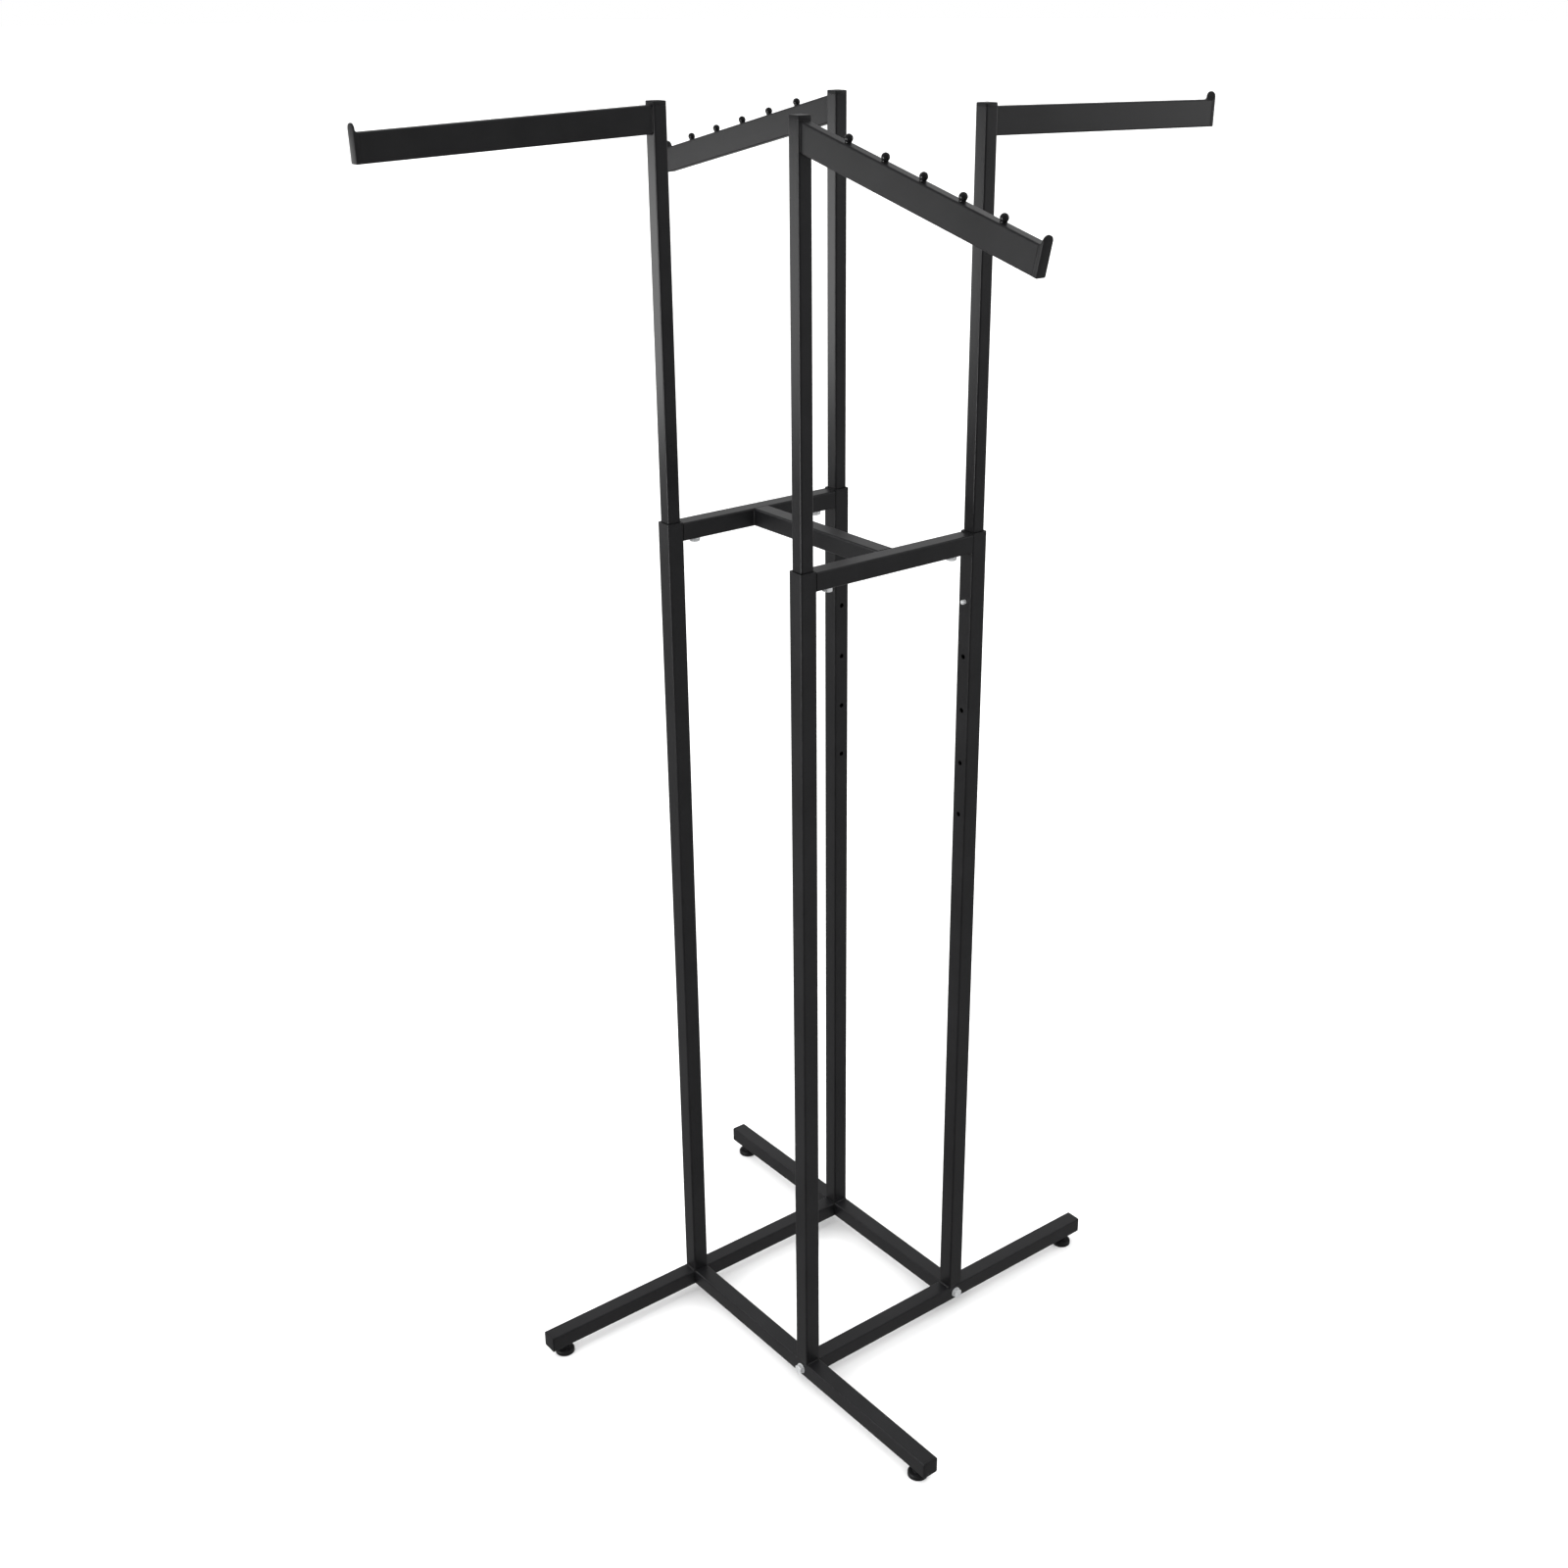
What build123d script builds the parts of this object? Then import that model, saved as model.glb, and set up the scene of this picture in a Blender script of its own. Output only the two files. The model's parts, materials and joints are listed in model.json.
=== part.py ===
from build123d import *

import os
from math import radians, tan

# Four way clothing rack, in millimetres. +Z is up, and the origin is on the floor, at the middle of the
# base. Four square posts stand at the corners of a square: left (-X -Y), front (+X -Y), right (+X +Y)
# and back (-X +Y). Everything at a corner is drawn once, about that post's own axis, with its arm and leg
# pointing along -Y, and is then turned a quarter at a time.

# Driving dimensions
total_height = 1828.8
post_spacing = 292.1
post_width = 25.4
upright_width = 20.0
crossbar_width = 25.4
wall = 1.5
corner_radius = 2.4

leg_reach = 281.4
foot_reach = 254.0
foot_height = 17.5
post_top = 1287.5

arm_length = 406.4
arm_width = 14.0
arm_depth = 34.5
arm_wall = 1.5
arm_bore_radius = 0.5
straight_droop = 1.5
slant_angle = 13.6
straight_arm_below_top = 5.0
slanted_arm_below_top = 6.5
lip_height = 10.5
lip_thickness = 2.6
lip_fillet = 4.0
lip_edge = 1.0

stud_count = 5
first_stud = 79.0
stud_spacing = 65.0
stud_ball_radius = 5.0
stud_ball_height = 5.3
stud_neck_radius = 3.5

hole_count = 5
hole_spacing = 79.4
hole_radius = 3.6
top_hole_below_post_top = 97.5
upright_below_button = 50.0

button_radius = 3.15
button_edge = 1.9
button_stand_out = 6.2
clip_thickness = 0.8
clip_width = 10.0
clip_length = 60.0
clip_pad = 8.0
clip_bend = 2.5
clip_gap = 0.3

cap_thickness = 5.0
leg_cap_thickness = 3.0
cap_edge = 1.2
plug_depth = 14.0
plug_wall = 2.5
fit_gap = 0.1

crossbar_below_post_top = 1.5
stub_length = 60.0
stub_radius = 1.9
crossbar_bolt_reach = 39.5

bolt_radius = 4.0
bolt_hole_radius = 4.3
tapped_radius = 4.05
head_across_flats = 13.0
head_chamfer = 0.3
cone_angle = 40.0
head_height = 5.3
washer_radius = 8.0
washer_thickness = 1.6
nut_height = 6.5
end_plate_thickness = 6.0
base_bolt_length = 34.0
crossbar_bolt_length = 16.0

pad_radius = 15.0
pad_edge = 1.0
pad_shoulder = 3.0
pad_thickness = 7.5
pad_hub_radius = 7.5
pad_top = 10.5
foot_stud_top = 34.0

# Worked out from them
half_spacing = post_spacing / 2
half_post = post_width / 2
half_upright = upright_width / 2
half_crossbar = crossbar_width / 2
bar_top = foot_height + post_width
bar_middle = foot_height + half_post
bar_end = post_spacing - half_post
button_height = post_top - top_hole_below_post_top
upright_bottom = button_height - upright_below_button
upright_top = total_height - cap_thickness
crossbar_middle = post_top - crossbar_below_post_top - half_crossbar
upright_cavity = upright_width - 2 * wall
clip_face = upright_cavity / 2 - clip_gap
end_cap_thickness = lip_thickness + lip_fillet

corners = ["left", "front", "right", "back"]
straight_corners = ["left", "right"]


def at_corner(shape, name):
    """Turn a shape drawn about a post's axis to the named corner."""
    quarter_turns = corners.index(name)
    return Rot(0, 0, 90 * quarter_turns) * Pos(-half_spacing, -half_spacing, 0) * shape


def square_tube(width, length, radius=corner_radius):
    """A square tube standing on the XY plane, along +Z."""
    bore = width - 2 * wall
    profile = RectangleRounded(width, width, radius) - RectangleRounded(bore, bore, radius - wall)
    return extrude(profile, length)


def along_y(shape, start_y, height):
    """Lay a shape drawn along +Z down along +Y, starting at start_y, with its axis at a height."""
    return Pos(0, start_y, height) * Rot(-90, 0, 0) * shape


def rod(radius, length):
    """A round rod standing on the XY plane, along +Z."""
    return extrude(Circle(radius), length)


def hexagon(across_flats, length):
    """A hexagonal prism standing on the XY plane, along +Z."""
    return extrude(RegularPolygon(across_flats / 2, 6, major_radius=False), length)


def hex_bolt(length):
    """A hexagon bolt and its washer: the washer's face is on the XY plane and the shank runs along +Z."""
    washer = Pos(0, 0, -washer_thickness) * rod(washer_radius, washer_thickness)
    head_top = Pos(0, 0, -washer_thickness - head_height)
    head = head_top * hexagon(head_across_flats, head_height)
    cone_radius = head_across_flats / 2 - head_chamfer
    cone = extrude(Circle(cone_radius), head_height, taper=-cone_angle)
    return washer + (head & head_top * cone) + rod(bolt_radius, length)


def hex_nut(height):
    """A hexagon nut standing on the XY plane, tapped through."""
    return hexagon(head_across_flats, height) - rod(tapped_radius, height)


def tube_plug(outer, bore, flange, edge):
    """A moulded plug: a flange from the XY plane up, and a hollow spigot below it that fills a bore."""
    cap = extrude(RectangleRounded(outer, outer, corner_radius), flange)
    cap = fillet(cap.faces().sort_by(Axis.Z)[-1].edges(), edge)
    side = bore - 2 * fit_gap
    hollow = side - 2 * plug_wall
    spigot = RectangleRounded(side, side, corner_radius - wall) - Rectangle(hollow, hollow)
    return cap + Pos(0, 0, -plug_depth) * extrude(spigot, plug_depth)


def base_bar():
    """The square bar under a post: its leg runs out along -Y, and its far end butts on the next bar."""
    start = -leg_reach + leg_cap_thickness
    bar = along_y(square_tube(post_width, bar_end - start), start, bar_middle)
    foot_hole = Pos(0, -foot_reach, foot_height) * rod(bolt_hole_radius, 2 * wall)
    bolt_hole = Pos(-half_post, 0, bar_middle) * Rot(0, 90, 0) * rod(bolt_hole_radius, post_width)
    return bar - foot_hole - bolt_hole


def base_end_plate():
    """The tapped plate welded inside the bar's far end."""
    side = post_width - 2 * wall - 2 * fit_gap
    profile = RectangleRounded(side, side, corner_radius - wall) - Circle(tapped_radius)
    return along_y(extrude(profile, end_plate_thickness), bar_end - end_plate_thickness, bar_middle)


def base_bolt():
    """The bolt through the next bar into this bar's end plate: its head is on that bar's outer face."""
    return Pos(0, bar_end + post_width, bar_middle) * Rot(90, 0, 0) * hex_bolt(base_bolt_length)


def leg_cap():
    """The plug in a leg's outer end."""
    plug = tube_plug(post_width, post_width - 2 * wall, leg_cap_thickness, cap_edge)
    return Pos(0, -leg_reach + leg_cap_thickness, bar_middle) * Rot(90, 0, 0) * plug


def foot_nut():
    """The nut welded on the floor of the bar, over the foot's hole."""
    return Pos(0, -foot_reach, foot_height + wall) * hex_nut(nut_height)


def foot_pad():
    """The round pad that stands on the floor, with a hub that holds the stud."""
    side_top = (pad_radius, pad_thickness - pad_shoulder)
    flat_rim = (pad_radius - pad_shoulder, pad_thickness)
    profile = Polyline((0, 0), (pad_radius - pad_edge, 0), (pad_radius, pad_edge), side_top)
    profile += RadiusArc(side_top, flat_rim, -pad_shoulder)
    profile += Polyline(flat_rim, (pad_hub_radius, pad_thickness), (pad_hub_radius, pad_top), (0, pad_top),
                        (0, 0))
    pad = revolve(Plane.XZ * make_face(profile), Axis.Z)
    stud_socket = Pos(0, 0, pad_thickness / 2) * rod(bolt_radius, pad_top)
    return Pos(0, -foot_reach, 0) * (pad - stud_socket)


def foot_stud():
    """The threaded stud that is moulded in the pad and screws in the bar."""
    start = pad_thickness / 2
    return Pos(0, -foot_reach, start) * rod(bolt_radius, foot_stud_top - start)


def post():
    """The outer tube: it stands on its base bar, with the height holes in its +Y face."""
    tube = Pos(0, 0, bar_top) * square_tube(post_width, post_top - bar_top)
    hole = Rot(-90, 0, 0) * rod(hole_radius, post_width)
    for row in range(hole_count):
        tube -= Pos(0, 0, button_height - row * hole_spacing) * hole
    return tube


def upright():
    """The inner tube that slides in the post, with one hole for its snap button."""
    tube = Pos(0, 0, upright_bottom) * square_tube(upright_width, upright_top - upright_bottom)
    hole = Pos(0, 0, button_height) * Rot(-90, 0, 0) * rod(hole_radius, upright_width)
    return tube - hole


def upright_cap():
    """The plug in the upright's top."""
    return Pos(0, 0, upright_top) * tube_plug(upright_width, upright_cavity, cap_thickness, cap_edge)


def snap_button():
    """The round pin that stands through the upright and the post, riveted to its spring clip."""
    pin = rod(button_radius, half_post + button_stand_out - clip_face)
    pin = fillet(pin.faces().sort_by(Axis.Z)[-1].edges(), button_edge)
    return along_y(pin, clip_face, button_height)


def button_clip():
    """The V spring inside the upright: one leg carries the button, and the other leans on the far wall."""
    near = clip_face - clip_thickness / 2
    far = -upright_cavity / 2 + clip_thickness / 2
    bend = ((near + far) / 2, clip_pad - clip_length)
    path = FilletPolyline((near, clip_pad), (near, -clip_pad), bend, (far, -clip_pad), (far, clip_pad),
                          radius=clip_bend)
    strip = extrude(Plane.YZ * trace(path, clip_thickness), clip_width / 2, both=True)
    return Pos(0, 0, button_height) * strip


def tilted_arm(shape, below_top, angle):
    """Tip a shape drawn along -Y, with its top at z = 0, down by an angle from the upright's face."""
    return Pos(0, -half_upright, total_height - below_top) * Rot(angle, 0, 0) * shape


def arm(below_top, angle):
    """The rectangular tube that garments hang on, cut to meet the upright's face."""
    bore = RectangleRounded(arm_width - 2 * arm_wall, arm_depth - 2 * arm_wall, arm_bore_radius)
    profile = RectangleRounded(arm_width, arm_depth, arm_bore_radius + arm_wall) - bore
    overrun = arm_depth * tan(radians(angle)) + 1
    tube_end = arm_length - end_cap_thickness
    tube = along_y(extrude(profile, tube_end + overrun), -tube_end, -arm_depth / 2)
    tube = tilted_arm(tube, below_top, angle)
    reach = 2 * arm_length
    return tube & Pos(0, -half_upright - reach / 2, total_height) * Box(reach, reach, reach)


def arm_end_cap(below_top, angle):
    """The plug in an arm's end, with a rounded lip that stops hangers sliding off."""
    inner = -arm_length + end_cap_thickness
    outer = -arm_length
    lip_inner = outer + lip_thickness
    side = Polyline((inner, 0), (inner, -arm_depth), (outer, -arm_depth), (outer, lip_height),
                    (lip_inner, lip_height), (lip_inner, lip_fillet))
    side += RadiusArc((lip_inner, lip_fillet), (inner, 0), -lip_fillet)
    body = extrude(Plane.YZ * make_face(side), arm_width / 2, both=True)
    tall = arm_depth + lip_height
    outline = SlotOverall(tall, arm_width, rotation=90)
    outline += Pos(0, -arm_width / 2) * RectangleRounded(arm_width, tall - arm_width, lip_edge)
    body &= Pos(0, 0, lip_height - tall / 2) * Rot(90, 0, 0) * extrude(outline, 2 * arm_length)
    inset = 2 * arm_wall + 2 * fit_gap
    hollow = inset + 2 * arm_wall
    spigot = RectangleRounded(arm_width - inset, arm_depth - inset, arm_bore_radius)
    spigot -= Rectangle(arm_width - hollow, arm_depth - hollow)
    body += along_y(extrude(spigot, plug_depth), inner, -arm_depth / 2)
    return tilted_arm(body, below_top, angle)


def ball_stud():
    """A ball on a short neck, standing on the XY plane."""
    return rod(stud_neck_radius, stud_ball_height) + Pos(0, 0, stud_ball_height) * Sphere(stud_ball_radius)


def ball_studs():
    """The row of studs on a slanted arm, which keep hangers apart."""
    row = [Pos(0, -first_stud - n * stud_spacing, 0) * ball_stud() for n in range(stud_count)]
    return [tilted_arm(stud, slanted_arm_below_top, slant_angle) for stud in row]


def crossbar(side):
    """The bar between the two posts at one side of the rack, bored below for its two bolts."""
    length = post_spacing - post_width
    bar = along_y(square_tube(crossbar_width, length), -length / 2, crossbar_middle)
    for end in (-1, 1):
        y = end * (half_spacing - crossbar_bolt_reach)
        bar -= Pos(0, y, crossbar_middle - half_crossbar) * rod(bolt_hole_radius, wall)
    return Pos(side * half_spacing, 0, 0) * bar


def centre_bar():
    """The bar that joins the middles of the two crossbars."""
    length = post_spacing - crossbar_width
    return Pos(-length / 2, 0, crossbar_middle) * Rot(0, 90, 0) * square_tube(crossbar_width, length)


def crossbar_stub():
    """The short tube welded on a post, drawn along +Y, over which the crossbar's end slips."""
    outer = crossbar_width - 2 * wall - 2 * fit_gap
    stub = along_y(square_tube(outer, stub_length, stub_radius), half_post, crossbar_middle)
    floor = crossbar_middle - outer / 2
    return stub - Pos(0, crossbar_bolt_reach, floor) * rod(bolt_hole_radius, wall)


def crossbar_bolt():
    """The bolt up through the crossbar and the stub."""
    bolt = hex_bolt(crossbar_bolt_length)
    return Pos(0, crossbar_bolt_reach, crossbar_middle - half_crossbar) * bolt


def crossbar_nut():
    """The nut welded inside the stub."""
    floor = crossbar_middle - half_crossbar + 2 * wall + fit_gap
    return Pos(0, crossbar_bolt_reach, floor) * hex_nut(nut_height)


def at_crossbar_ends(shape):
    """Put a shape drawn about a post, with its crossbar along +Y, at all four ends of the crossbars."""
    left_end = Pos(-half_spacing, -half_spacing, 0) * shape
    back_end = mirror(left_end, Plane.XZ)
    right_end = Rot(0, 0, 180) * left_end
    front_end = Rot(0, 0, 180) * back_end
    return [left_end, front_end, right_end, back_end]


def write(name, *solids):
    """Write one node: a single solid, or a group of separate ones."""
    solids = [solid for shape in solids for solid in shape.solids()]
    node = solids[0] if len(solids) == 1 else Compound(children=solids)
    export_step(node, f"parts/{name}.step")


os.makedirs("parts", exist_ok=True)

for corner in corners:
    straight = corner in straight_corners
    if straight:
        arm_place = (straight_arm_below_top, straight_droop)
    else:
        arm_place = (slanted_arm_below_top, slant_angle)
    write(f"base_bar_{corner}", at_corner(base_bar(), corner))
    write(f"post_{corner}", at_corner(post(), corner))
    write(f"leg_cap_{corner}", at_corner(leg_cap(), corner))
    write(f"foot_pad_{corner}", at_corner(foot_pad(), corner))
    write(f"foot_stud_{corner}", at_corner(foot_stud(), corner))
    write(f"upright_{corner}", at_corner(upright(), corner))
    write(f"upright_cap_{corner}", at_corner(upright_cap(), corner))
    write(f"snap_button_{corner}", at_corner(snap_button(), corner))
    write(f"button_clip_{corner}", at_corner(button_clip(), corner))
    write(f"arm_{corner}", at_corner(arm(*arm_place), corner))
    write(f"arm_end_cap_{corner}", at_corner(arm_end_cap(*arm_place), corner))
    if not straight:
        write(f"ball_studs_{corner}", *[at_corner(stud, corner) for stud in ball_studs()])

write("base_end_plates", *[at_corner(base_end_plate(), corner) for corner in corners])
write("base_bolts", *[at_corner(base_bolt(), corner) for corner in corners])
write("foot_nuts", *[at_corner(foot_nut(), corner) for corner in corners])
write("crossbar_left", crossbar(-1))
write("crossbar_right", crossbar(1))
write("centre_bar", centre_bar())
write("crossbar_stubs", *at_crossbar_ends(crossbar_stub()))
write("crossbar_bolts", *at_crossbar_ends(crossbar_bolt()))
write("crossbar_nuts", *at_crossbar_ends(crossbar_nut()))
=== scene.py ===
import json
from math import atan2, ceil, cos, degrees, pi, radians, sin, sqrt, tau

import bmesh
import bpy
from mathutils import Matrix, Vector


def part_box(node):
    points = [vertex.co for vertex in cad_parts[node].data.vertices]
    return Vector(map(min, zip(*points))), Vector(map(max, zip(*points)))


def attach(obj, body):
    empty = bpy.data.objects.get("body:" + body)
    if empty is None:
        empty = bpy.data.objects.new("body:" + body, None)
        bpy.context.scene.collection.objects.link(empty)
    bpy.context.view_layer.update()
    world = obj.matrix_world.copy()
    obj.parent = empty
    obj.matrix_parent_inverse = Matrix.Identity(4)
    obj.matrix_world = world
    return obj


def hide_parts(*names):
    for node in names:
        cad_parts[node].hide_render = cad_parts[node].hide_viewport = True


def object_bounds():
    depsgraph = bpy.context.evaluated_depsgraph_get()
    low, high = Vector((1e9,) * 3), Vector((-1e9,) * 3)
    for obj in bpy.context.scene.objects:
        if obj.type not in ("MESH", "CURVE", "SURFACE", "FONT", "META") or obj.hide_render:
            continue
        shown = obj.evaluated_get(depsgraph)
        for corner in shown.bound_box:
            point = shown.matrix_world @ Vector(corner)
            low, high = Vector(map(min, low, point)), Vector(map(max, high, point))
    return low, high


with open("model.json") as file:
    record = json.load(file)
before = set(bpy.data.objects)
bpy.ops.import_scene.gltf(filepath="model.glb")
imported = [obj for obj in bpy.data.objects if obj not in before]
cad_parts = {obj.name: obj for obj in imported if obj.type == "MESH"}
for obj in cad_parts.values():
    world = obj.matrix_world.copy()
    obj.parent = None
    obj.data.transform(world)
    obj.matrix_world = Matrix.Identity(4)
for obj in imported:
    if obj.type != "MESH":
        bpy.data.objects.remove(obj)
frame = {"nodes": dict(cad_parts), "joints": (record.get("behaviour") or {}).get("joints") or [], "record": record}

# Four way clothing rack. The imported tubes, bars and arms stay as they are and get their finish here.
# Caps, end plates, studs, bolts, feet and buttons are drawn again in finer detail, and weld beads are added.
# Everything at a corner is drawn about that corner's post, with its arm pointing along local -Y.

cad_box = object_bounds()
corners = ("left", "front", "right", "back")
MM = 0.001


# ---------------------------------------------------------------- frame sizes

def centre(node):
    low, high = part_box(node)
    return (low + high) / 2


def size(node):
    low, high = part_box(node)
    return high - low


def node_points(node, matrix):
    """A CAD node's points, moved by a matrix."""
    return [matrix @ v.co for v in frame["nodes"][node].data.vertices]


def outward(corner):
    """The way a corner's arm points, which is also the way its button is pressed."""
    joint = next(j for j in frame["joints"] if j["name"] == f"button_press_{corner}")
    return Vector(joint["axis"]).normalized()


def corner_matrix(corner):
    """From a corner's own axes (arm along -Y, origin on the floor at its post's axis) to the frame."""
    y = -outward(corner)
    z = Vector((0, 0, 1))
    turn = Matrix((y.cross(z), y, z)).transposed().to_4x4()
    axis = centre(f"post_{corner}")
    return Matrix.Translation((axis.x, axis.y, 0)) @ turn


post_width = size("post_left").x
upright_width = size("upright_left").x
arm_width = size("arm_left").x
total_height = cad_box[1].z
upright_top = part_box("upright_left")[1].z
bar_bottom, bar_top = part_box("base_bar_left")[0].z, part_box("base_bar_left")[1].z
bar_middle = (bar_bottom + bar_top) / 2
corner_radius = 2.4 * MM


def arm_frame(corner):
    """A corner's arm: the matrix of its top line's start (arm along -Y, top at z = 0), and its depth."""
    inverse = corner_matrix(corner).inverted()
    points = node_points(f"arm_{corner}", inverse)
    face = -upright_width / 2
    end_reach = 60 * MM
    top = max((p for p in points if p.y > face - MM), key=lambda p: p.z)
    tip = min(points, key=lambda p: p.y)
    end = [p for p in points if (p - tip).length < end_reach]
    end_top = max(end, key=lambda p: p.z)
    droop = atan2(top.z - end_top.z, top.y - end_top.y)
    place = Matrix.Translation((0, top.y, top.z)) @ Matrix.Rotation(droop, 4, "X")
    local = [place.inverted() @ p for p in points]
    return place, -min(p.z for p in local), -min(p.y for p in local)


# ---------------------------------------------------------------- mesh helpers

def new_piece(name, mesh, body, material, replaces=(), sharp=35):
    """Make a mesh (bmesh) into a smooth-shaded piece that rides on a body."""
    bmesh.ops.remove_doubles(mesh, verts=mesh.verts, dist=0.002 * MM)
    bmesh.ops.recalc_face_normals(mesh, faces=mesh.faces)
    data = bpy.data.meshes.new(name)
    mesh.to_mesh(data)
    mesh.free()
    data.polygons.foreach_set("use_smooth", [True] * len(data.polygons))
    data.set_sharp_from_angle(angle=radians(sharp))
    data.materials.append(material)
    piece = bpy.data.objects.new(name, data)
    bpy.context.scene.collection.objects.link(piece)
    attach(piece, body)
    if replaces:
        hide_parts(*replaces)
    return piece


def skin(mesh, loops):
    """Join closed loops of equally many points with quads, and close both ends."""
    rings = [[mesh.verts.new(p) for p in loop] for loop in loops]
    for near, far in zip(rings, rings[1:]):
        for i in range(len(near)):
            j = (i + 1) % len(near)
            mesh.faces.new((near[i], near[j], far[j], far[i]))
    mesh.faces.new(rings[0][::-1])
    mesh.faces.new(rings[-1])


def round_point(radius, angle, z=0.0):
    return Vector((radius * cos(angle), radius * sin(angle), z))


def circle(radius, z, steps):
    return [round_point(radius, tau * i / steps, z) for i in range(steps)]


def rounded_rectangle(width, depth, radius, z, steps=6):
    """A loop round a rectangle with rounded corners, in the plane at a height."""
    points = []
    for quarter in range(4):
        sx = 1 if quarter in (0, 3) else -1
        sy = 1 if quarter in (0, 1) else -1
        middle = Vector((sx * (width / 2 - radius), sy * (depth / 2 - radius), z))
        for step in range(steps + 1):
            angle = pi / 2 * (quarter + step / steps)
            points.append(middle + round_point(radius, angle))
    return points


def lathe(mesh, profile, steps=48):
    """Turn a profile of (radius, z) about Z. It starts and ends on a flat face."""
    skin(mesh, [circle(r, z, steps) for r, z in profile])


def arc(centre_r, centre_z, radius, start, end, steps):
    """Points of an arc for a lathe profile, with angles in degrees from the outward direction."""
    points = []
    for i in range(steps + 1):
        angle = radians(start + (end - start) * i / steps)
        points.append((centre_r + radius * cos(angle), centre_z + radius * sin(angle)))
    return points


def place(mesh, matrix, first=0):
    """Move the vertices added since `first` by a matrix."""
    mesh.verts.ensure_lookup_table()
    bmesh.ops.transform(mesh, matrix=matrix, verts=mesh.verts[first:])


def threaded_rod(mesh, radius, low, high, steps=32):
    """A rod with a helical M8 thread from low to high, with chamfered ends."""
    pitch = 1.25 * MM
    depth = 0.54 * pitch
    flank_slope = 2.6
    rows_per_turn = 6
    rows = ceil((high - low) / pitch * rows_per_turn)
    loops = []
    for row in range(rows + 1):
        z = low + (high - low) * row / rows
        end = min(z - low, high - z)
        loop = []
        for i in range(steps):
            turn = i / steps
            phase = ((z - low) / pitch - turn) % 1
            crest = max(0.0, 1 - abs(phase - 0.5) * flank_slope)
            r = min(radius - depth * (1 - crest), radius - depth + end)
            loop.append(round_point(r, tau * turn, z))
        loops.append(loop)
    skin(mesh, loops)


def weld_bead(mesh, start, end, side_a, side_b, leg):
    """A rippled fillet bead along a line, between the two surfaces that leave it along side_a and side_b."""
    start, end, side_a, side_b = Vector(start), Vector(end), Vector(side_a), Vector(side_b)
    ripple_pitch = 1.9 * MM
    ripple_height = 0.07
    crown_height = 0.18
    end_share = 0.25
    buried_share = 0.25
    steps = 7
    length = (end - start).length
    along = (end - start) / length
    rows = max(6, ceil(length / ripple_pitch * 5))
    loops = []
    for row in range(rows + 1):
        s = length * row / rows
        taper = min(1.0, sqrt(max(0.0, min(s, length - s)) / leg) + end_share)
        ripple = 1 + ripple_height * cos(tau * s / ripple_pitch)
        reach = leg * taper * ripple
        point = start + along * s
        buried = point - (side_a + side_b) * leg * buried_share
        bulge = []
        for i in range(steps + 1):
            t = i / steps
            crown = 1 + crown_height * sin(pi * t)
            bulge.append(point + (side_a * (1 - t) + side_b * t) * reach * crown)
        loops.append([buried, *bulge])
    skin(mesh, loops)


def islands(node):
    """The points of each separate solid of a CAD node, in order along X and then Y."""
    mesh = bmesh.new()
    mesh.from_mesh(frame["nodes"][node].data)
    bmesh.ops.remove_doubles(mesh, verts=mesh.verts, dist=0.001 * MM)
    left = set(mesh.verts)
    solids = []
    while left:
        group, edge = set(), {left.pop()}
        while edge:
            group |= edge
            edge = {e.other_vert(v) for v in edge for e in v.link_edges} - group
        left -= group
        solids.append([v.co.copy() for v in group])
    mesh.free()
    return sorted(solids, key=lambda points: [round(min(p[k] for p in points), 4) for k in (0, 1)])


# ---------------------------------------------------------------- materials

def node_maker(material):
    tree = material.node_tree
    shader = tree.nodes["Principled BSDF"]

    def add(kind, **values):
        node = tree.nodes.new(kind)
        for key, value in values.items():
            if key in node.inputs:
                node.inputs[key].default_value = value
            else:
                setattr(node, key, value)
        return node

    return tree, shader, add


noise_low, noise_high = 0.3, 0.7


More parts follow.
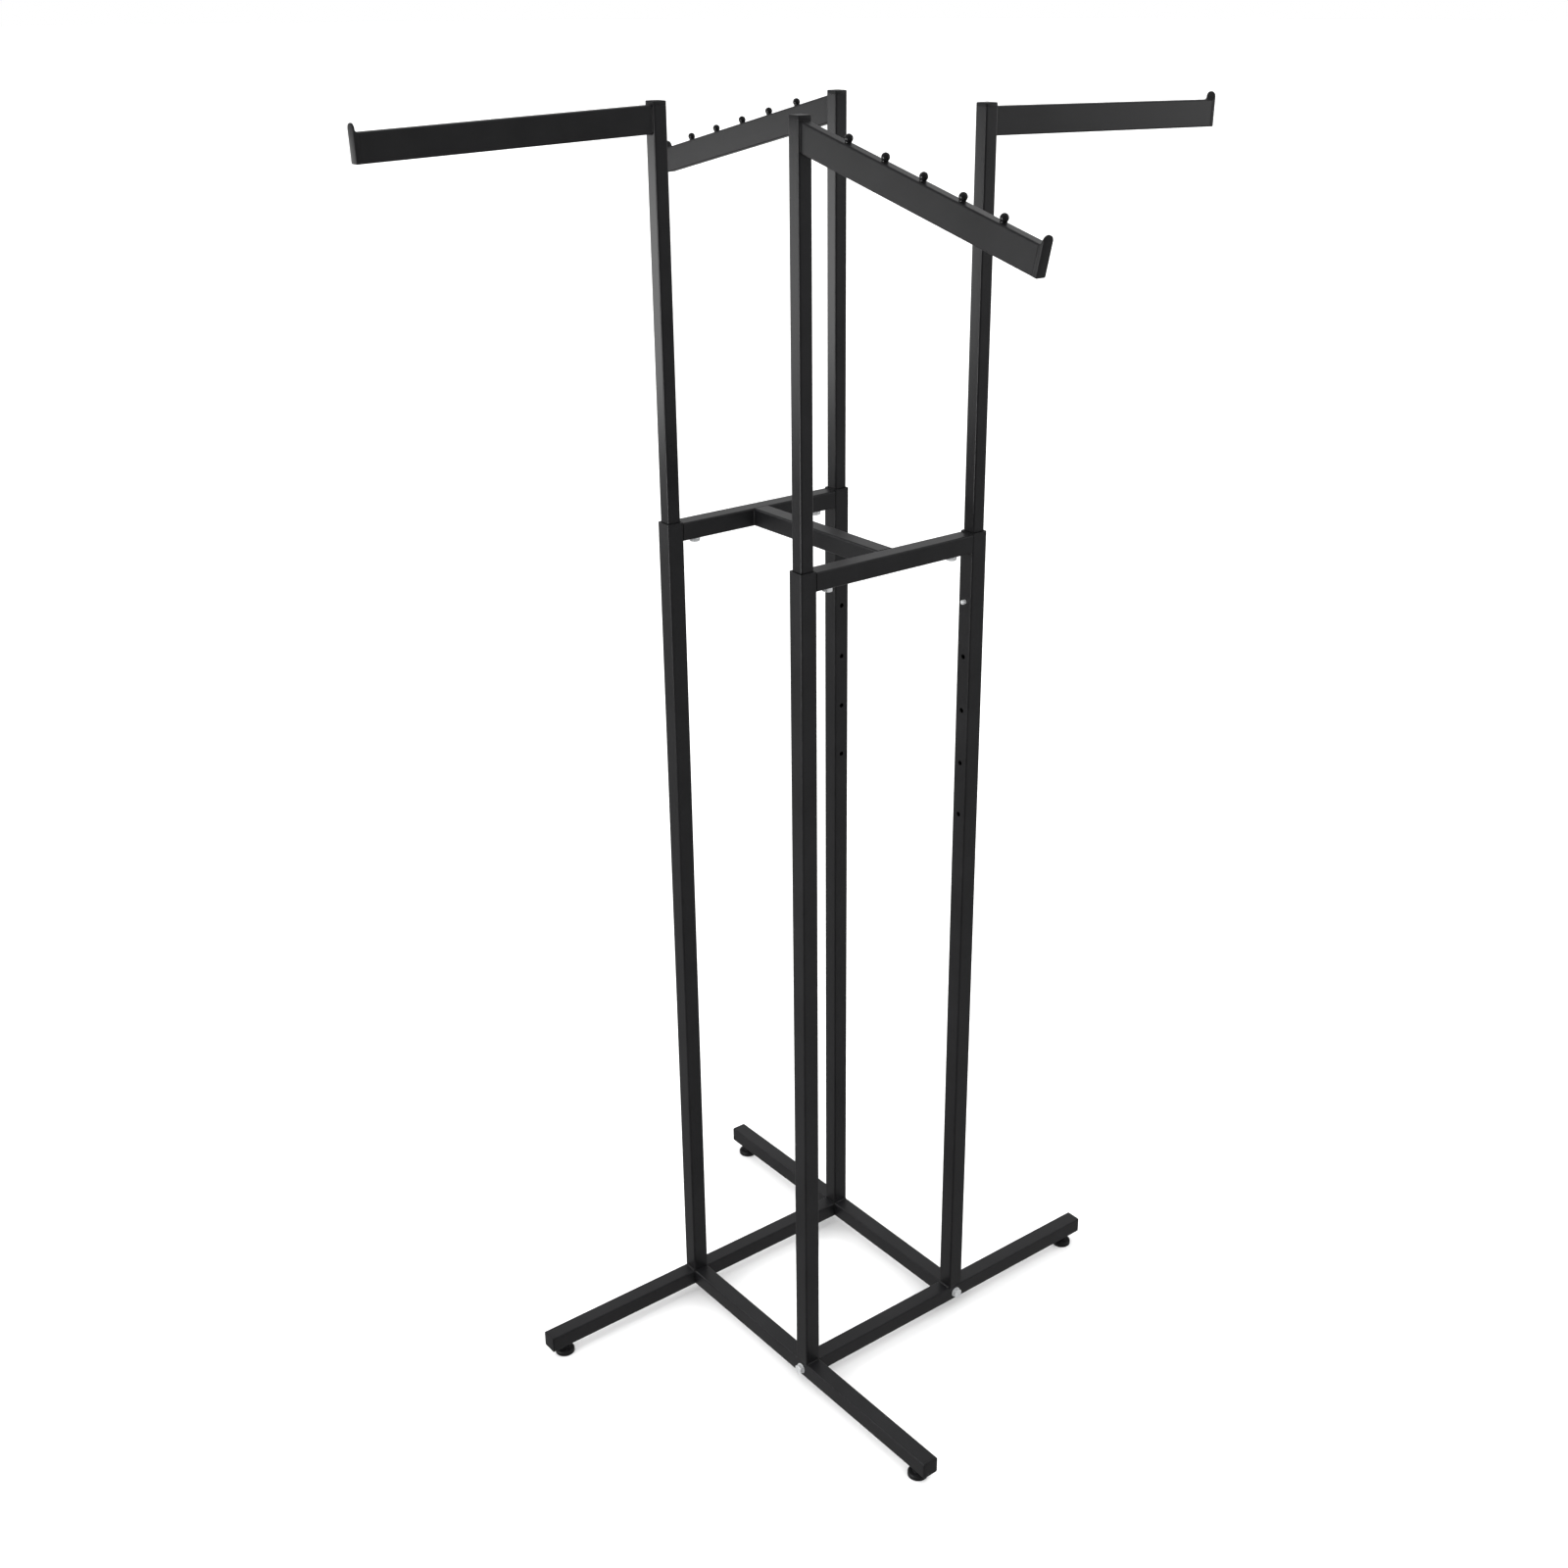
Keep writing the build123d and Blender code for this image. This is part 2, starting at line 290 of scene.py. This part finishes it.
def textured(name, colour, spread, roughness, roughness_spread, grain, grain_depth, metallic=0.0,
             wave=18.0, stretch=(1, 1, 1), specular=0.5):
    """A finish whose colour and roughness drift slowly over the surface, with a fine grain in its bump.

    grain is the size of the grain and grain_depth its height, in millimetres. wave is the slow drift's
    number of cycles per metre."""
    material = bpy.data.materials.new(name)
    material.use_nodes = True
    tree, shader, add = node_maker(material)
    shader.inputs["Metallic"].default_value = metallic
    shader.inputs["Specular IOR Level"].default_value = specular
    link = tree.links.new
    place_node = add("ShaderNodeTexCoord")
    scaled = add("ShaderNodeMapping", Scale=stretch)
    link(place_node.outputs["Object"], scaled.inputs["Vector"])

    slow = add("ShaderNodeTexNoise", Scale=wave, Detail=5.0, Roughness=0.6)
    link(scaled.outputs["Vector"], slow.inputs["Vector"])
    colours = add("ShaderNodeValToRGB")
    dark, light = colours.color_ramp.elements
    dark.position, light.position = noise_low, noise_high
    dark.color = [c * (1 - spread) for c in colour] + [1]
    light.color = [min(1, c * (1 + spread)) for c in colour] + [1]
    link(slow.outputs["Fac"], colours.inputs["Fac"])
    link(colours.outputs["Color"], shader.inputs["Base Color"])

    fine = add("ShaderNodeTexNoise", Scale=1 / (grain * MM), Detail=3.0, Roughness=0.55)
    link(scaled.outputs["Vector"], fine.inputs["Vector"])
    blend = add("ShaderNodeMix", data_type="FLOAT")
    blend.inputs["Factor"].default_value = 0.5
    link(slow.outputs["Fac"], blend.inputs[2])
    link(fine.outputs["Fac"], blend.inputs[3])
    rough = add("ShaderNodeMapRange")
    rough.inputs["From Min"].default_value = noise_low
    rough.inputs["From Max"].default_value = noise_high
    rough.inputs["To Min"].default_value = roughness - roughness_spread
    rough.inputs["To Max"].default_value = roughness + roughness_spread
    link(blend.outputs[0], rough.inputs["Value"])
    link(rough.outputs["Result"], shader.inputs["Roughness"])

    bump = add("ShaderNodeBump", Strength=1.0, Distance=grain_depth * MM)
    link(fine.outputs["Fac"], bump.inputs["Height"])
    link(bump.outputs["Normal"], shader.inputs["Normal"])
    return material


powder_coat = textured("satin_black_powder_coat", (0.0068, 0.0068, 0.0075), 0.18, 0.36, 0.05,
                       grain=1.1, grain_depth=0.02)
arm_coat = textured("matt_black_powder_coat", (0.007, 0.007, 0.0077), 0.18, 0.4, 0.04,
                    grain=1.1, grain_depth=0.02, specular=0.44)
upright_coat = textured("semi_gloss_black_paint", (0.0065, 0.0065, 0.0072), 0.18, 0.29, 0.02,
                        grain=1.1, grain_depth=0.004)
stud_enamel = textured("gloss_black_enamel", (0.005, 0.005, 0.0055), 0.15, 0.2, 0.04,
                       grain=1.4, grain_depth=0.01, specular=0.5)
plastic = textured("moulded_black_plastic", (0.006, 0.006, 0.0066), 0.15, 0.42, 0.06,
                   grain=0.5, grain_depth=0.02, specular=0.42)
zinc = textured("bright_zinc_plate", (0.66, 0.67, 0.68), 0.08, 0.32, 0.07,
                grain=0.35, grain_depth=0.008, metallic=0.45, wave=140.0)
spring_steel = textured("rolled_spring_steel", (0.46, 0.47, 0.49), 0.12, 0.3, 0.08,
                        grain=0.6, grain_depth=0.01, metallic=1.0, stretch=(1, 1, 0.08))

finish_of_slot = {
    "black_powder_coat": powder_coat,
    "black_plastic": plastic,
    "zinc_plated_steel": zinc,
    "spring_steel": spring_steel,
}
finish_of_kind = {"upright": upright_coat, "arm": arm_coat}
for part in frame["record"]["subparts"]:
    node = frame["nodes"][part["node"]]
    kind = part["node"].rsplit("_", 1)[0]
    node.data.materials.clear()
    node.data.materials.append(finish_of_kind.get(kind, finish_of_slot[part["material_slot"]]))


# ---------------------------------------------------------------- caps

cap_edge = 1.2 * MM
spigot_step = 1.6 * MM


def plug(width, flange, spigot_depth, crown):
    """A square plug whose flange stands on the XY plane, with a rounded and slightly crowned top."""
    edge = cap_edge
    spigot_width = width - 2 * spigot_step
    mesh = bmesh.new()
    lip = 0.25 * MM
    spigot_corner = 0.8 * MM
    least_corner = 0.4 * MM
    loops = [
        rounded_rectangle(spigot_width, spigot_width, spigot_corner, -spigot_depth),
        rounded_rectangle(spigot_width, spigot_width, spigot_corner, 0),
        rounded_rectangle(width - 2 * lip, width - 2 * lip, corner_radius - lip, 0),
        rounded_rectangle(width, width, corner_radius, lip),
        rounded_rectangle(width, width, corner_radius, flange - edge),
    ]
    edge_steps = 6
    for step in range(1, edge_steps + 1):
        angle = pi / 2 * step / edge_steps
        shrink = edge * (1 - cos(angle))
        z = flange - edge + edge * sin(angle)
        side = width - 2 * shrink
        loops.append(rounded_rectangle(side, side, max(corner_radius - shrink, least_corner), z - crown))
    for share in (0.75, 0.5, 0.25, 0.04):
        side = (width - 2 * edge) * share
        z = flange - crown * share ** 2
        loops.append(rounded_rectangle(side, side, side * 0.2, z))
    skin(mesh, loops)
    return mesh


def make_upright_cap(corner):
    node = f"upright_cap_{corner}"
    flange = total_height - upright_top
    depth = size(node).z - flange
    mesh = plug(upright_width, flange, depth, crown=0.15 * MM)
    place(mesh, corner_matrix(corner) @ Matrix.Translation((0, 0, upright_top)))
    new_piece(f"top_plug_{corner}", mesh, f"sliding_upright_{corner}", plastic, [node])


def leg_end(corner):
    """The distance from a post's axis to its leg's outer end and to the bar's cut end."""
    inverse = corner_matrix(corner).inverted()
    cap = min(p.y for p in node_points(f"leg_cap_{corner}", inverse))
    bar = min(p.y for p in node_points(f"base_bar_{corner}", inverse))
    return -cap, -bar


def make_leg_cap(corner):
    outer, bar_end = leg_end(corner)
    node = f"leg_cap_{corner}"
    along = max(size(node).x, size(node).y)
    flange = outer - bar_end
    mesh = plug(post_width, flange, along - flange, crown=0.2 * MM)
    end = Matrix.Translation((0, -bar_end, bar_middle)) @ Matrix.Rotation(pi / 2, 4, "X")
    place(mesh, corner_matrix(corner) @ end)
    new_piece(f"leg_plug_{corner}", mesh, "base_frame", plastic, [node])


# ---------------------------------------------------------------- arms

def prism(outline, low, high, axis):
    """A closed prism: an outline of (u, z) pairs, pushed along x or y from low to high."""
    mesh = bmesh.new()
    loops = []
    for w in (low, high):
        if axis == "x":
            loops.append([Vector((w, u, z)) for u, z in outline])
        else:
            loops.append([Vector((u, w, z)) for u, z in outline])
    skin(mesh, loops)
    bmesh.ops.recalc_face_normals(mesh, faces=mesh.faces)
    return mesh


def as_object(mesh, name):
    data = bpy.data.meshes.new(name)
    mesh.to_mesh(data)
    mesh.free()
    thing = bpy.data.objects.new(name, data)
    bpy.context.scene.collection.objects.link(thing)
    return thing


def common_part(mesh_a, mesh_b, bevel):
    """What two closed meshes have in common, with its sharp edges rounded."""
    a, b = as_object(mesh_a, "common_a"), as_object(mesh_b, "common_b")
    cut = a.modifiers.new("cut", "BOOLEAN")
    cut.operation = "INTERSECT"
    cut.object = b
    cut.solver = "EXACT"
    soft = a.modifiers.new("soft", "BEVEL")
    soft.width = bevel
    soft.segments = 3
    soft.limit_method = "ANGLE"
    soft.angle_limit = radians(40)
    depsgraph = bpy.context.evaluated_depsgraph_get()
    result = bmesh.new()
    result.from_object(a, depsgraph)
    for thing in (a, b):
        bpy.data.objects.remove(thing)
    return result


def make_arm_end(corner):
    """The plug in an arm's end, whose rounded lip flares out of the arm's top."""
    place_arm, depth, tube_end = arm_frame(corner)
    node = f"arm_end_cap_{corner}"
    points = node_points(node, (corner_matrix(corner) @ place_arm).inverted())
    outer = min(p.y for p in points)
    lip_height = max(p.z for p in points)
    lip_thickness = 2.6 * MM
    bevel = 0.55 * MM
    inner = -tube_end
    flare = inner - outer - lip_thickness
    side = [(outer, -depth), (inner, -depth), (inner, 0)]
    flare_steps = 10
    for step in range(1, flare_steps + 1):
        angle = pi / 2 * step / flare_steps
        side.append((inner - flare * sin(angle), flare * (1 - cos(angle))))
    side += [(outer + lip_thickness, lip_height), (outer, lip_height)]
    half = arm_width / 2
    front = []
    round_steps = 20
    for step in range(round_steps + 1):
        angle = pi * step / round_steps
        front.append((half * cos(angle), lip_height - half + half * sin(angle)))
    foot = 1.6 * MM
    for sx, start in ((-1, 180), (1, 270)):
        for step in range(5):
            angle = radians(start + 90 * step / 4)
            front.append((sx * (half - foot) + foot * cos(angle), -depth + foot + foot * sin(angle)))
    mesh = common_part(prism(side, -half, half, "x"), prism(front, outer - MM, inner + MM, "y"), bevel)
    place(mesh, corner_matrix(corner) @ place_arm)
    new_piece(f"arm_tip_{corner}", mesh, f"sliding_upright_{corner}", plastic, [node],
              sharp=50)


def make_ball_studs(corner):
    """The ball studs on a slanted arm, each on a short neck with a filled foot."""
    node = f"ball_studs_{corner}"
    arm_matrix = corner_matrix(corner) @ arm_frame(corner)[0]
    neck, foot = 4.0 * MM, 0.8 * MM
    sunk = 0.3 * MM
    for number, points in enumerate(islands(node)):
        local = [arm_matrix.inverted() @ p for p in points]
        along = [p.y for p in local]
        ball = (max(along) - min(along)) / 2
        height = max(p.z for p in local) - ball
        meet = degrees(atan2(-sqrt(ball ** 2 - neck ** 2), neck))
        profile = [(neck + foot, -sunk)]
        profile += arc(neck + foot, foot, foot, -90, -180, 5)
        profile += arc(0, height, ball, meet, 89.0, 22)
        mesh = bmesh.new()
        lathe(mesh, profile, 40)
        place(mesh, arm_matrix @ Matrix.Translation((0, min(along) + ball, 0)))
        new_piece(f"ball_stud_{corner}_{number + 1}", mesh, f"sliding_upright_{corner}",
                  stud_enamel, [node] if number == 0 else [], sharp=60)


def make_arm_weld(corner):
    """The beads that join an arm to its upright, down both sides and along the top and bottom."""
    place_arm, depth, _ = arm_frame(corner)
    face = -upright_width / 2
    start = place_arm @ Vector((0, 0, 0))
    tilt = place_arm.to_3x3() @ Vector((0, -1, 0))
    low = start.z - depth / sqrt(1 - tilt.z ** 2)
    leg = 1.3 * MM
    margin = 2.2 * MM
    mesh = bmesh.new()
    for side in (-1, 1):
        x = side * arm_width / 2
        weld_bead(mesh, (x, face, low + margin), (x, face, start.z - margin), (side, 0, 0), (0, -1, 0), leg)
    half = arm_width / 2 - margin
    weld_bead(mesh, (-half, face, start.z), (half, face, start.z), (0, 0, 1), tilt, leg)
    weld_bead(mesh, (-half, face, low), (half, face, low), (0, 0, -1), tilt, leg)
    place(mesh, corner_matrix(corner))
    new_piece(f"arm_weld_{corner}", mesh, f"sliding_upright_{corner}", powder_coat,
              sharp=60)


# ---------------------------------------------------------------- base

def make_post_weld(corner):
    """The beads across the bar's top, before and behind a post."""
    half = post_width / 2
    leg = 1.6 * MM
    mesh = bmesh.new()
    for side in (-1, 1):
        y = side * half
        weld_bead(mesh, (corner_radius - half, y, bar_top), (half - corner_radius, y, bar_top),
                  (0, side, 0), (0, 0, 1), leg)
    place(mesh, corner_matrix(corner))
    new_piece(f"post_weld_{corner}", mesh, "base_frame", powder_coat, sharp=60)


def make_centre_welds():
    """The beads where the centre bar's ends meet the two crossbars."""
    low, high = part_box("centre_bar")
    middle = (low + high) / 2
    half = (high.z - low.z) / 2
    leg = 1.3 * MM
    flat = half - corner_radius
    for side, end in (("left", low.x), ("right", high.x)):
        inward = (1, 0, 0) if side == "left" else (-1, 0, 0)
        mesh = bmesh.new()
        for sign in (-1, 1):
            y, z = middle.y + sign * half, middle.z + sign * half
            weld_bead(mesh, (end, y, middle.z - flat), (end, y, middle.z + flat), (0, sign, 0), inward, leg)
        new_piece(f"centre_weld_{side}", mesh, "base_frame", powder_coat, sharp=60)


def make_foot(corner):
    """A levelling foot: the moulded pad and its threaded stud."""
    pad_node, stud_node = f"foot_pad_{corner}", f"foot_stud_{corner}"
    spot = Matrix.Translation((centre(pad_node).x, centre(pad_node).y, 0))
    pad_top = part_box(pad_node)[1].z
    radius = size(pad_node).x / 2
    shoulder, hub = 7.5 * MM, 7.5 * MM
    rim, edge, hub_foot, hub_edge = 3.0 * MM, 1.0 * MM, 0.6 * MM, 0.8 * MM
    sole, sole_hollow = radius - 2.0 * MM, 0.5 * MM
    profile = [(sole - 0.2 * MM, sole_hollow), (sole, 0)]
    profile += arc(radius - edge, edge, edge, -90, 0, 5)
    profile += arc(radius - rim, shoulder - rim, rim, 0, 90, 10)
    profile += [(hub + 1.0 * MM, shoulder)]
    profile += arc(hub + hub_foot, shoulder + hub_foot, hub_foot, -120, -180, 2)
    profile += arc(hub - hub_edge, pad_top - hub_edge, hub_edge, 0, 90, 6)
    profile += [(size(stud_node).x / 2 + 0.1 * MM, pad_top)]
    mesh = bmesh.new()
    lathe(mesh, profile, 64)
    place(mesh, spot)
    new_piece(f"pad_{corner}", mesh, f"levelling_foot_{corner}", plastic, [pad_node])
    mesh = bmesh.new()
    low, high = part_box(stud_node)
    threaded_rod(mesh, size(stud_node).x / 2, low.z, high.z)
    place(mesh, spot)
    new_piece(f"levelling_stud_{corner}", mesh, f"levelling_foot_{corner}", zinc,
              [stud_node])


# ---------------------------------------------------------------- bolts and buttons

bolt_radius = 4.0 * MM
across_flats = 13.0 * MM
head_height = 5.3 * MM
washer_thickness = 1.6 * MM


def hexagon_bolt(washer_radius, length):
    """An M8 bolt with its washer's face on the XY plane: the head above it, and the shank below."""
    mesh = bmesh.new()
    steps = 72
    ridge = 0.3 * MM
    washer = washer_thickness
    lathe(mesh, [(washer_radius - ridge, 0), (washer_radius, ridge), (washer_radius, washer - ridge),
                 (washer_radius - ridge, washer), (across_flats * 0.45, washer)], steps)
    apothem = across_flats / 2
    neck = apothem * 0.93
    crown = apothem * 0.94
    slope = 0.5
    dish = 0.35 * MM
    seat = washer + 0.25 * MM
    top = washer + head_height

    def hexagon(shrink, height):
        """A hexagon made smaller by shrink, whose points' height follows from their radius."""
        loop = []
        for i in range(steps):
            angle = tau * i / steps
            r = apothem / cos((angle + pi / 6) % (pi / 3) - pi / 6) - shrink
            loop.append(round_point(r, angle, height(r)))
        return loop

    loops = [circle(neck, washer, steps), circle(neck, seat, steps),
             hexagon(0.15 * MM, lambda r: seat + 0.1 * MM), hexagon(0, lambda r: seat + 0.35 * MM),
             hexagon(0, lambda r: top - (r - crown) * slope - 0.12 * MM),
             hexagon(0.2 * MM, lambda r: top - (r - crown) * slope),
             circle(crown, top, steps), circle(crown - 0.5 * MM, top, steps),
             circle(crown - 1.2 * MM, top - dish, steps), circle(crown * 0.3, top - dish, steps)]
    skin(mesh, loops)
    first = len(mesh.verts)
    threaded_rod(mesh, bolt_radius, 0, length)
    place(mesh, Matrix.Rotation(pi, 4, "X"), first)
    return mesh


def make_bolts(node, head_direction, turn_step):
    """Draw each bolt of a CAD node, with its head pointing along head_direction(box centre)."""
    head = head_height + washer_thickness
    for number, points in enumerate(islands(node)):
        low = Vector([min(p[k] for p in points) for k in range(3)])
        high = Vector([max(p[k] for p in points) for k in range(3)])
        middle = (low + high) / 2
        way = head_direction(middle)
        extent = high - low
        long = abs(extent.dot(way))
        across = sorted(extent)[1]
        mesh = hexagon_bolt(across / 2, long - head)
        seat = middle + way * (long / 2 - head)
        tilt = way.to_track_quat("Z", "Y").to_matrix().to_4x4()
        twist = Matrix.Rotation(radians(turn_step * (number + 1)), 4, "Z")
        place(mesh, Matrix.Translation(seat) @ tilt @ twist)
        new_piece(f"{node[:-1]}_{number + 1}", mesh, "base_frame", zinc,
                  [node] if number == 0 else [], sharp=28)


def base_bolt_head(middle):
    """A base bolt near a corner's post runs into the next corner's bar, so its head faces away from it."""
    nearest = min(corners, key=lambda c: (centre(f"post_{c}").xy - middle.xy).length)
    next_corner = corners[(corners.index(nearest) + 1) % len(corners)]
    return -outward(next_corner)


def crossbar_bolt_head(middle):
    """Every crossbar bolt is put in from below."""
    return Vector((0, 0, -1))


def make_button(corner):
    """A snap button: a turned pin with a rounded tip and a slightly domed end."""
    node = f"snap_button_{corner}"
    low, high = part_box(node)
    middle = (low + high) / 2
    way = -outward(corner)
    long = abs((high - low).dot(way))
    radius = size(node).z / 2
    edge = 1.9 * MM
    chamfer = 0.2 * MM
    dome = 0.02 * MM
    flat = radius - edge + 0.25 * MM
    profile = [(radius - chamfer, 0), (radius, chamfer)]
    profile += arc(radius - edge, long - edge, edge, 0, 78, 12)
    profile += [(flat * share, long - dome * share) for share in (0.8, 0.4, 0.05)]
    mesh = bmesh.new()
    lathe(mesh, profile, 40)
    tilt = way.to_track_quat("Z", "Y").to_matrix().to_4x4()
    place(mesh, Matrix.Translation(middle - way * long / 2) @ tilt)
    new_piece(f"button_pin_{corner}", mesh, f"button_{corner}", zinc, [node])


for corner in corners:
    make_upright_cap(corner)
    make_leg_cap(corner)
    make_arm_end(corner)
    make_arm_weld(corner)
    make_post_weld(corner)
    make_foot(corner)
    make_button(corner)
for corner in ("front", "back"):
    make_ball_studs(corner)
make_centre_welds()
make_bolts("base_bolts", base_bolt_head, 17)
make_bolts("crossbar_bolts", crossbar_bolt_head, 23)


# ---------------------------------------------------------------- floor, light and camera

def grey(level):
    return (level, level, level, 1)


def make_stage():
    """A wide pale floor, and a plain pale backdrop far behind it."""
    reach = 60
    mesh = bmesh.new()
    bmesh.ops.create_circle(mesh, cap_ends=True, radius=reach, segments=96)
    floor = as_object(mesh, "floor")
    pale = bpy.data.materials.new("pale_floor")
    pale.use_nodes = True
    tree, shader, add = node_maker(pale)
    shader.inputs["Roughness"].default_value = 0.9
    shader.inputs["Specular IOR Level"].default_value = 0.1
    speckle = add("ShaderNodeTexNoise", Scale=6.0, Detail=4.0)
    shades = add("ShaderNodeValToRGB")
    shades.color_ramp.elements[0].color = grey(0.91)
    shades.color_ramp.elements[1].color = grey(0.95)
    tree.links.new(speckle.outputs["Fac"], shades.inputs["Fac"])
    tree.links.new(shades.outputs["Color"], shader.inputs["Base Color"])
    floor.data.materials.append(pale)
    floor.visible_glossy = False

    mesh = bmesh.new()
    bmesh.ops.create_uvsphere(mesh, u_segments=64, v_segments=32, radius=reach)
    dome = as_object(mesh, "backdrop")
    white = bpy.data.materials.new("white_backdrop")
    white.use_nodes = True
    tree = white.node_tree
    tree.nodes.clear()
    glow = tree.nodes.new("ShaderNodeEmission")
    glow.inputs["Color"].default_value = grey(1)
    glow.inputs["Strength"].default_value = 1.0
    output = tree.nodes.new("ShaderNodeOutputMaterial")
    tree.links.new(glow.outputs["Emission"], output.inputs["Surface"])
    dome.data.materials.append(white)
    for ray in ("visible_diffuse", "visible_glossy", "visible_transmission", "visible_shadow"):
        setattr(dome, ray, False)


def make_world():
    """Dim light from all round: brightest behind the rack, and darkest on the side it is shown from."""
    world = bpy.data.worlds.new("studio")
    world.use_nodes = True
    tree = world.node_tree
    behind = radians(145)
    way = tree.nodes.new("ShaderNodeTexCoord")
    facing = tree.nodes.new("ShaderNodeVectorMath")
    facing.operation = "DOT_PRODUCT"
    facing.inputs[1].default_value = (cos(behind), sin(behind), 0)
    share = tree.nodes.new("ShaderNodeMapRange")
    share.inputs["From Min"].default_value = -1
    levels = tree.nodes.new("ShaderNodeValToRGB")
    stops = levels.color_ramp.elements
    stops[0].position, stops[1].position = 0.0, 1.0
    stops[0].color, stops[1].color = grey(0.07), grey(0.6)
    for facing_share, level in ((-0.65, 0.07), (-0.3, 0.26), (0.25, 0.25), (0.77, 0.34), (0.93, 0.52)):
        stops.new((facing_share + 1) / 2).color = grey(level)
    tree.links.new(way.outputs["Generated"], facing.inputs[0])
    tree.links.new(facing.outputs["Value"], share.inputs["Value"])
    tree.links.new(share.outputs["Result"], levels.inputs["Fac"])
    tree.links.new(levels.outputs["Color"], tree.nodes["Background"].inputs["Color"])
    tree.nodes["Background"].inputs["Strength"].default_value = 1.0
    bpy.context.scene.world = world


def make_sky(strength):
    """The soft overhead light on the floor."""
    light = bpy.data.lights.new("overhead", "SUN")
    light.energy = strength
    light.angle = radians(150)
    lamp = bpy.data.objects.new("overhead", light)
    bpy.context.scene.collection.objects.link(lamp)
    lamp.visible_glossy = False


def make_panel(name, azimuth, distance, height, aim_height, width, tall, radiance):
    """A softbox that stands at an azimuth (degrees from +X) and faces the rack's middle at a height."""
    light = bpy.data.lights.new(name, "AREA")
    light.shape = "RECTANGLE"
    light.size = width
    light.size_y = tall
    light.energy = radiance * width * tall * pi
    lamp = bpy.data.objects.new(name, light)
    bpy.context.scene.collection.objects.link(lamp)
    spot = Vector((distance * cos(radians(azimuth)), distance * sin(radians(azimuth)), height))
    lamp.location = spot
    lamp.rotation_euler = (spot - Vector((0, 0, aim_height))).to_track_quat("Z", "Y").to_euler()
    lamp.visible_camera = False


def make_camera():
    """The camera, at the height and angle from which the rack is normally shown."""
    azimuth, pitch, roll = radians(51.424), radians(24.237), radians(-0.174)
    data = bpy.data.cameras.new("camera")
    data.sensor_width = 36
    data.lens = 43.959
    data.shift_x, data.shift_y = -0.02245, 0.0157
    data.clip_end = 200
    camera = bpy.data.objects.new("camera", data)
    bpy.context.scene.collection.objects.link(camera)
    back = Vector((sin(azimuth) * cos(pitch), -cos(azimuth) * cos(pitch), sin(pitch)))
    right = Vector((cos(azimuth), sin(azimuth), 0))
    up = right.cross(-back)
    x = right * cos(roll) + up * sin(roll)
    y = up * cos(roll) - right * sin(roll)
    spot = Matrix.Translation((1.9693, -1.5752, 2.0032))
    camera.matrix_world = spot @ Matrix((x, y, back)).transposed().to_4x4()
    bpy.context.scene.camera = camera


make_stage()
make_world()
make_sky(4.6)
make_panel("left_softbox", -148, 1.7, 1.38, 1.38, 0.75, 0.6, 2.5)
make_panel("left_strip", -95, 2.5, 1.05, 1.05, 0.6, 1.4, 9.0)
make_panel("right_softbox", 62, 2.2, 1.9, 1.9, 0.9, 0.8, 1.5)
make_panel("rear_softbox", 118, 2.0, 3.2, 1.2, 0.9, 0.7, 0.9)
make_camera()
bpy.context.scene.view_settings.view_transform = "Standard"
